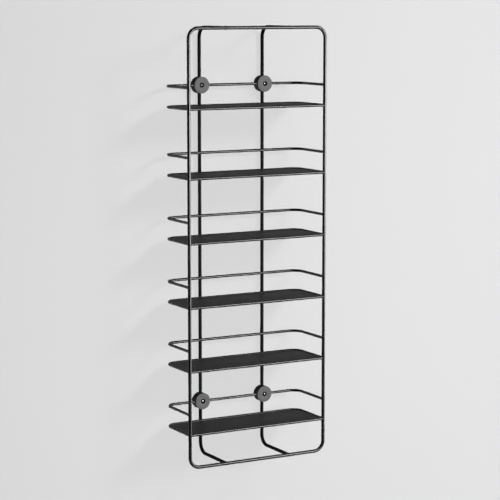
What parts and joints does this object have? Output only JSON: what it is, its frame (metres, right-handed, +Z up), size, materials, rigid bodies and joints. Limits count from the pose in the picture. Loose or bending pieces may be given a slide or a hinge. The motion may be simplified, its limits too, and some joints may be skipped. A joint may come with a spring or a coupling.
{
  "type": "wall rack",
  "caption": "Tall wall rack of bent black steel rod with narrow sheet shelves, a guard rail over each shelf, and round hubs that screw it to a wall.",
  "frame": {"origin": "on the wall plane, on the rack's middle line, halfway up its front frame", "axes": "+X to the right seen from the front, +Y into the wall, +Z up"},
  "size_m": [0.45, 0.2145, 1.25],
  "materials": {
    "rod_coat": "fine satin black powder coat on bent steel rod",
    "shelf_coat": "matt black powder coat on steel sheet",
    "hub_coat": "fine-textured dark grey coat on turned steel",
    "screw_steel": "gloss black domed head on hardened steel"
  },
  "bodies": {
    "root": {"frame_left_half": "rod_coat", "frame_right_half": "rod_coat", "left_upright_top": "rod_coat", "left_upright_middle": "rod_coat", "left_upright_bottom": "rod_coat", "right_upright_top": "rod_coat", "right_upright_middle": "rod_coat", "right_upright_bottom": "rod_coat", "rail_1_left": "rod_coat", "rail_1_middle": "rod_coat", "rail_1_right": "rod_coat", "rail_2": "rod_coat", "rail_3": "rod_coat", "rail_4": "rod_coat", "rail_5": "rod_coat", "rail_6_left": "rod_coat", "rail_6_middle": "rod_coat", "rail_6_right": "rod_coat", "shelf_1_plate": "shelf_coat", "shelf_1_rim": "rod_coat", "shelf_1_front_rod": "rod_coat", "shelf_2_plate": "shelf_coat", "shelf_2_rim": "rod_coat", "shelf_2_front_rod": "rod_coat", "shelf_3_plate": "shelf_coat", "shelf_3_rim": "rod_coat", "shelf_3_front_rod": "rod_coat", "shelf_4_plate": "shelf_coat", "shelf_4_rim": "rod_coat", "shelf_4_front_rod": "rod_coat", "shelf_5_plate": "shelf_coat", "shelf_5_rim": "rod_coat", "shelf_5_front_rod": "rod_coat", "shelf_6_plate": "shelf_coat", "shelf_6_rim": "rod_coat", "shelf_6_front_rod": "rod_coat", "top_left_hub": "hub_coat", "top_left_screw": "screw_steel", "top_right_hub": "hub_coat", "top_right_screw": "screw_steel", "bottom_left_hub": "hub_coat", "bottom_left_screw": "screw_steel", "bottom_right_hub": "hub_coat", "bottom_right_screw": "screw_steel"}
  },
  "joints": []
}
